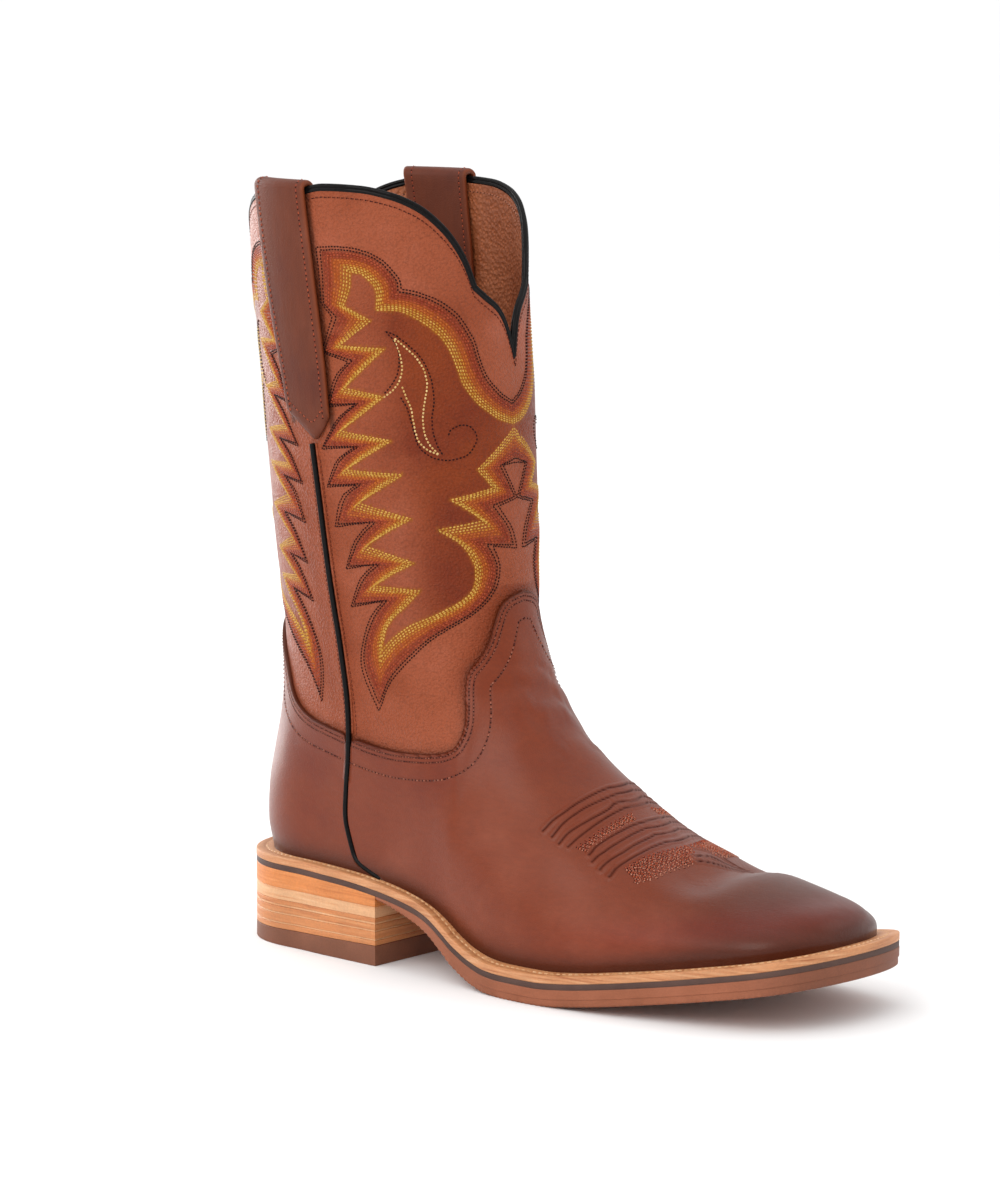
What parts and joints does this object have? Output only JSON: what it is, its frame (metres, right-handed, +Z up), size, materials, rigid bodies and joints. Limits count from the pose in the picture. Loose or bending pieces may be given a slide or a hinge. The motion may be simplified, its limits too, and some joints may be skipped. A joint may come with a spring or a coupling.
{
  "type": "western work boot",
  "caption": "Square-toed pull-on western work boot with scalloped collar, pull straps, piped side seams, stacked heel and rubber forepart sole, standing empty",
  "frame": {"origin": "centre line of the heel's ground face, half a heel length in front of its back edge", "axes": "+X to the toe, +Y to the medial side, +Z up from the ground the boot stands on"},
  "size_m": [0.301, 0.1108, 0.3153],
  "materials": {
    "shaft_leather": "fine pebbled grain, satin, warm brown",
    "vamp_leather": "smooth pull-up leather, soft sheen, red-brown",
    "piping_black": "black corded piping, slight gloss",
    "strap_leather": "dark brown strap leather, satin",
    "welt_tan": "natural tan cut edge",
    "midsole_grey_brown": "dark grey-brown, matte",
    "outsole_brown": "brown rubber, matte",
    "heel_leather": "stacked leather, sanded and waxed edge",
    "insole_leather": "plain tan leather"
  },
  "bodies": {
    "root": {"upper": "shaft_leather", "vamp": "vamp_leather", "counter": "vamp_leather", "side_piping_lateral": "piping_black", "side_piping_medial": "piping_black", "collar_piping": "piping_black", "pull_strap_lateral": "strap_leather", "pull_strap_medial": "strap_leather", "welt": "welt_tan", "midsole": "midsole_grey_brown", "outsole": "outsole_brown", "heel_stack": "heel_leather", "heel_cap": "outsole_brown", "insole": "insole_leather"}
  },
  "joints": []
}
